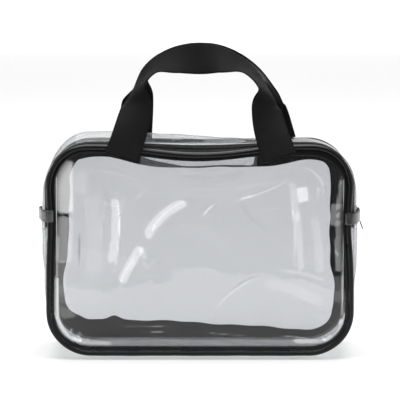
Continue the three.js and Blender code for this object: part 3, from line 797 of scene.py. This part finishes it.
ZIP_RUMPLE = 0.35
UNDER_RUMPLE = 0.3
JOINT_GAP = 0.6
zip_s = np.linspace(0, ZIP_LENGTH, 240)
strip_y = np.linspace(ZIP_SLOT_HALF, GUSSET_EDGE, 26)
for side, end in ((-1, "front"), (1, "rear")):
    strip = gusset_piece(f"zip_strip_{end}", zip_s, side * strip_y, -GUSSET_SHEET, 0, gusset_pvc,
                         ZIP_RUMPLE)
    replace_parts(strip, f"zip_gusset_{end}")
    ZIP_LENGTH * MM
flange_y = np.linspace(-GUSSET_EDGE, -SHOULDER_Y - 0.5, 10)
gusset_piece("front_gusset_flange", zip_s, flange_y, 0.1, 0.7, black_vinyl)
under_s = np.linspace(ZIP_LENGTH + JOINT_GAP, SEAM_LENGTH - JOINT_GAP, 300)
under_y = np.linspace(-GUSSET_EDGE, GUSSET_EDGE, 52)
under = gusset_piece("bottom_strip", under_s, under_y, -GUSSET_SHEET, 0, gusset_pvc,
                     UNDER_RUMPLE)
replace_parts(under, "bottom_gusset")
(SEAM_LENGTH - ZIP_LENGTH) * MM


# ---- Zipper --------------------------------------------------------------------------------------
# Two black woven tapes, stitched to the clear strips and just proud of their faces, each with a nylon coil
# sewn to its edge. A coil is one filament wound round and round; the two coils' turns interlock.
TAPE_TOP = 0.24
TAPE_THICK = 0.2
MESH_GAP_HALF = 0.7
COIL_PITCH = 1.3
COIL_WIRE = 0.32
COIL_MIDDLE = 1.6
COIL_REACH = 0.72
COIL_HEIGHT = 0.62
COIL_RISE = 0.35
COIL_START = 2.4
TURN_STEPS = 10
WIRE_SIDES = 5
DEPTH_WAY = np.array([0.0, 1.0, 0.0])

zip_cloth = woven_tape("zip_cloth", 0.001, 0.004, shine=0.06)
tape_y = np.linspace(MESH_GAP_HALF, TAPE_HALF, 14)
for side, end in ((-1, "front"), (1, "rear")):
    tape = gusset_piece(f"zip_tape_{end}", zip_s, side * tape_y, TAPE_TOP - TAPE_THICK, TAPE_TOP, zip_cloth)
    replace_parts(tape, f"zipper_tape_{end}")


def frame_at(s, depth=0.0):
    """The gusset's frame at distances s and one depth: the point on its face, outwards, and along."""
    x, z, nx, nz = seam(s)
    y = np.full_like(x, depth)
    away = gusset_face(x, z, nx, nz, y)
    point = np.stack([x + nx * away, y, z + nz * away], -1)
    return point, np.stack([nx, 0 * nx, nz], -1), np.stack([-nz, 0 * nz, nx], -1)


def coil(name, side):
    """A helix that runs along the zipper: y swings as a cosine and height as a sine of the turn angle."""
    turns = int((ZIP_LENGTH - 2 * COIL_START) / COIL_PITCH)
    angle = np.linspace(0, 2 * np.pi * turns, turns * TURN_STEPS + 1) + (np.pi if side > 0 else 0)
    s = COIL_START + (angle - angle[0]) / (2 * np.pi) * COIL_PITCH
    middle, out, along = frame_at(s)
    centre = middle + out * (COIL_RISE + COIL_HEIGHT * np.sin(angle))[:, None]
    centre = centre + DEPTH_WAY * (side * (COIL_MIDDLE + COIL_REACH * np.cos(angle)))[:, None]
    run = np.gradient(centre, axis=0)
    run /= np.linalg.norm(run, axis=1, keepdims=True)
    first = np.cross(run, along)
    first /= np.linalg.norm(first, axis=1, keepdims=True)
    second = np.cross(run, first)
    around = np.linspace(0, 2 * np.pi, WIRE_SIDES, endpoint=False)[None, :, None]
    round_wire = first[:, None] * np.cos(around) + second[:, None] * np.sin(around)
    tube = centre[:, None] + COIL_WIRE * round_wire
    ends = [np.repeat(centre[i:i + 1, None], WIRE_SIDES, 1) for i in (0, len(centre) - 1)]
    tube = settled(np.concatenate([ends[0], tube, ends[1]]))
    quads = grid_quads(tube.shape[0], tube.shape[1], False, True)
    piece = quad_mesh(name, tube.reshape(-1, 3), quads, coil_nylon)
    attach(piece, "bag")
    return piece


def nylon():
    """Black nylon filament: smooth, half glossy, a little dusty."""
    f = Finish("coil_nylon")
    dust = f.noise(f.place(), scale=200, detail=2)
    tint = f.blend(dust, grey(0.006), grey(0.022))
    return f.done(f.node("ShaderNodeBsdfPrincipled", {}, {
        "Base Color": tint, "Roughness": 0.3 + 0.25 * dust}))


coil_nylon = nylon()
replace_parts(coil("zip_coil_front", -1), "zipper_coil_front")
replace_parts(coil("zip_coil_rear", 1), "zipper_coil_rear")


# ---- Zipper stitching ----------------------------------------------------------------------------
# A row of black lockstitches holds each clear strip to its tape, 11 mm from the zipper's middle.
STITCH_Y = 11.2
STITCH_STEP = 3.0
STITCH_LENGTH = 2.3
STITCH_ARCH = 0.12
STITCH_POINTS = 7
THREAD = 0.16
THREAD_SIDES = 6


def stitch_row(name, s, depth, rise):
    """Stitches as short bent capsules: half-sine arches along s, with a radius that closes at both ends."""
    t = np.linspace(0, 1, STITCH_POINTS)
    middle, out, _ = frame_at((s[:, None] + STITCH_LENGTH * (t[None, :] - 0.5)).ravel(), depth)
    arch = np.tile(STITCH_ARCH * np.sin(np.pi * t), len(s))
    centre = middle + out * (rise + arch)[:, None]
    radius = np.tile(THREAD * np.sqrt(np.clip(1 - (2 * t - 1) ** 8, 0, 1)), len(s))
    angle = np.linspace(0, 2 * np.pi, THREAD_SIDES, endpoint=False)[None, :, None]
    round_thread = out[:, None] * np.cos(angle) + DEPTH_WAY * np.sin(angle)
    tube = settled(centre[:, None] + radius[:, None, None] * round_thread)
    one = grid_quads(STITCH_POINTS, THREAD_SIDES, False, True)
    starts = np.arange(len(s)) * STITCH_POINTS * THREAD_SIDES
    quads = (one[None] + starts[:, None, None]).reshape(-1, 4)
    piece = quad_mesh(name, tube.reshape(-1, 3), quads, thread)
    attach(piece, "bag")
    return piece


def spun_thread():
    """Black polyester sewing thread with a slight sheen."""
    f = Finish("black_thread")
    fluff = f.noise(f.place(), scale=1500, detail=2)
    tint = f.blend(fluff, grey(0.008), grey(0.04))
    return f.done(f.node("ShaderNodeBsdfPrincipled", {}, {"Base Color": tint, "Roughness": 0.55}))


thread = spun_thread()
stitch_s = np.arange(4, ZIP_LENGTH - 4, STITCH_STEP)
stitch_row("zip_stitches_front", stitch_s, -STITCH_Y, TAPE_TOP)
stitch_row("zip_stitches_rear", stitch_s, STITCH_Y, TAPE_TOP)


# ---- Slider, puller and end stops ----------------------------------------------------------------
# Small die-cast parts under black lacquer. The slider runs on the coils, the puller hangs on its bridge, and
# a stop is clamped over each end of the coils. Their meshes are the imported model's own.
def lacquer():
    """Black lacquer on die-cast metal, with a fine orange-peel surface."""
    f = Finish("black_lacquer")
    peel = f.noise(f.place(), scale=700, detail=2)
    tint = f.blend(peel, grey(0.008), grey(0.03))
    bump = f.bump(peel, strength=0.15, distance=0.0002)
    return f.done(f.node("ShaderNodeBsdfPrincipled", {}, {
        "Base Color": tint, "Metallic": 0.6, "Roughness": 0.28 + 0.15 * peel, "Normal": bump}))


black_lacquer = lacquer()
for node in ("zipper_slider", "zipper_puller", "zipper_stop_left", "zipper_stop_right"):
    for material_slot in bpy.data.objects[node].material_slots:
        material_slot.material = black_lacquer


# ---- End tabs ------------------------------------------------------------------------------------
# A short strip of clear vinyl at each side, folded double, sewn into the front seam over the piping and
# bent back along the gusset: something to hold while the zipper is pulled.
TAB_THICK = 0.8
TAB_STEPS = 90
TAB_SIDES = 20
TAB_CUP = 0.12
TAB_SWAY = 0.5
TAB_ROUTE = [(-2.0, -39.2), (-1.6, -41.1), (0.6, -42.1), (3.1, -41.3), (5.6, -38), (7.6, -32), (9.0, -24),
             (9.0, -17), (8.4, -12.6), (7.6, -12.3), (7.8, -16), (8.0, -24), (6.4, -32), (3.4, -36.5)]

tab_pvc = clear_pvc("tab_pvc", (0.66, 0.66, 0.67, 1), (0.1, 0.1, 0.11, 1), 0.12)


def tab(name, side, node):
    """The strip's section is a flat superellipse, carried along the folded route in the horizontal plane."""
    low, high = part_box(node)
    bottom, top = low.z / MM, high.z / MM
    route, _ = smooth_path(TAB_ROUTE, TAB_STEPS)
    share = np.linspace(0, 1, TAB_STEPS)[:, None]
    along = np.gradient(route, axis=0)
    along /= np.linalg.norm(along, axis=1, keepdims=True)
    angle = np.linspace(0, 2 * np.pi, TAB_SIDES, endpoint=False)[None, :]
    up = np.sign(np.sin(angle)) * np.abs(np.sin(angle)) ** 0.35
    off = np.sign(np.cos(angle)) * np.abs(np.cos(angle)) ** 0.6 * TAB_THICK / 2
    cup = 1 - TAB_CUP * np.sin(np.pi * share)
    outwards = route[:, :1] + along[:, 1:] * off
    y = route[:, 1:] - along[:, :1] * off
    z = (bottom + top) / 2 + up * (top - bottom) / 2 * cup + TAB_SWAY * np.sin(5 * share)
    points = np.stack([side * (HALF_WIDTH + outwards), y, z], -1)
    ends = [np.repeat(points[i:i + 1].mean(1, keepdims=True), TAB_SIDES, 1) for i in (0, TAB_STEPS - 1)]
    points = settled(np.concatenate([ends[0], points, ends[1]]))
    # Painted shade: the strip's tint darkens along its upper and lower rims and across the fold.
    rim = smoothstep(0.6, 0.85, np.abs(up)) + 0 * share
    fold = near(share, 0.5, 0.05) * smoothstep(0.9, 0.5, np.abs(up))
    shade = np.concatenate([rim[:1], np.clip(rim + fold, 0, 1), rim[-1:]]).ravel()
    quads = grid_quads(TAB_STEPS + 2, TAB_SIDES, False, True)
    piece = quad_mesh(name, points.reshape(-1, 3), quads, tab_pvc, marks={"painted_shade": shade})
    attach(piece, "bag")
    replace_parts(piece, node)


tab("tab_right", 1, "end_tab_right")
tab("tab_left", -1, "end_tab_left")


# ---- Handles -------------------------------------------------------------------------------------
# Black twill webbing 26 mm wide. Its ends are sewn into the seam on the outside of the panel; it rises
# flat, turns edge-on at the bends, and lies flat again over the grip.
WEBBING = 26
WEBBING_THICK = 1.4
HANDLE_LEAN = math.radians(25.2)
HANDLE_FOOT_Y = 45.4
FRONT_FOOT_Z = 155
REAR_FOOT_Z = 157
HANDLE_STEPS = 260
HANDLE_ACROSS = 31
SELVEDGE = 0.35
# Each row: sideways from the middle, up from the foot in the leaning plane, and the turn in degrees.
FRONT_ROWS = [(-59.7, 0.9, 0), (-54, 18, 0), (-48.5, 39.5, 20), (-46.5, 57.8, 66), (-38, 72, 52),
              (-19, 80, 18), (0, 81.5, 0), (18, 79.6, 22), (38, 71, 56), (49, 55.8, 66), (50.5, 39.5, 30),
              (55, 18, 5), (60.5, 0.9, 0)]
REAR_ROWS = [(-51, 3, 0), (-50.2, 20, 0), (-48.7, 40, 20), (-44.8, 57, 66), (-34.4, 70, 52), (-16, 76.8, 18),
             (4, 78, 0), (22, 76.3, 22), (42, 68, 56), (54, 54, 66), (55.5, 38, 30), (59, 19, 5),
             (63, 3.4, 0)]


def twill():
    """Fine twill webbing: diagonal ribs crossed by the weft, with paler thread tops and worn patches."""
    f = Finish("twill_webbing")
    cloth = f.node("ShaderNodeUVMap", {"uv_map": "cloth"}, {})
    ribs = f.node("ShaderNodeTexWave", {"wave_type": "BANDS", "bands_direction": "DIAGONAL"},
                  {"Vector": cloth, "Scale": 420, "Distortion": 0.3, "Detail": 1})
    weft = f.node("ShaderNodeTexWave", {"wave_type": "BANDS", "bands_direction": "X"},
                  {"Vector": cloth, "Scale": 300, "Distortion": 0.2, "Detail": 1})
    wear = f.noise(cloth, scale=90, detail=4)
    threads = ribs * 0.6 + weft * 0.4
    mix = (threads * 0.5 + wear * 0.5).clamp()
    tint = f.blend(mix, (0.0015, 0.0015, 0.0016, 1), (0.010, 0.010, 0.0104, 1))
    bump = f.bump(threads, strength=0.55, distance=0.0003)
    return f.done(f.node("ShaderNodeBsdfPrincipled", {}, {
        "Base Color": tint, "Roughness": 0.42 + 0.2 * wear, "Normal": bump, "Specular IOR Level": 0.09}))


webbing_cloth = twill()


def handle(name, side, foot_z, rows, body, node):
    """The webbing's section turns about the path by the third column, from flat at 0 to edge-on at 90.

    The section is a bar whose edges thin out as a root of one minus the fourteenth power of the share.
    """
    route, length = smooth_path(rows, HANDLE_STEPS)
    step = np.gradient(route, axis=0)
    flat = np.hypot(step[:, 0], step[:, 1])[:, None]
    up = np.array([0, -side * math.sin(HANDLE_LEAN), math.cos(HANDLE_LEAN)])
    away = np.array([0, side * math.cos(HANDLE_LEAN), math.sin(HANDLE_LEAN)])
    right = np.array([1.0, 0, 0])
    along = (step[:, :1] * right + step[:, 1:2] * up) / flat
    inwards = (step[:, 1:2] * right - step[:, :1] * up) / flat
    twist = np.radians(route[:, 2:3])
    across = inwards * np.cos(twist) + away * np.sin(twist)
    normal = np.cross(along, across)
    centre = np.array([0, side * HANDLE_FOOT_Y, foot_z]) + route[:, :1] * right + route[:, 1:2] * up
    wide = np.linspace(-1, 1, HANDLE_ACROSS)
    off = wide * WEBBING / 2
    edge = np.sqrt(np.clip(1 - wide ** 14, 0, 1))
    sway = 0.25 * np.sin(np.linspace(0, 9, HANDLE_STEPS))[:, None] * wide[None, :]
    halves = []
    for face in (1, -1):
        lift = face * WEBBING_THICK / 2 * (SELVEDGE + (1 - SELVEDGE) * edge)[None, :] + sway
        half = centre[:, None] + across[:, None] * off[None, :, None] + normal[:, None] * lift[..., None]
        halves.append(half)
    vertices = np.concatenate([half.reshape(-1, 3) for half in halves])
    u, v = np.meshgrid(np.linspace(0, length, HANDLE_STEPS) * MM, off * MM, indexing="ij")
    cloth = np.stack([u, v], -1).reshape(-1, 2)
    quads = shell_quads(HANDLE_STEPS, len(wide))
    piece = quad_mesh(name, vertices, quads, webbing_cloth, np.concatenate([cloth, cloth]))
    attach(piece, body)
    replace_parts(piece, node)


handle("front_webbing", -1, FRONT_FOOT_Z, FRONT_ROWS, "front_handle", "front_handle")
handle("rear_webbing", 1, REAR_FOOT_Z, REAR_ROWS, "rear_handle", "rear_handle")
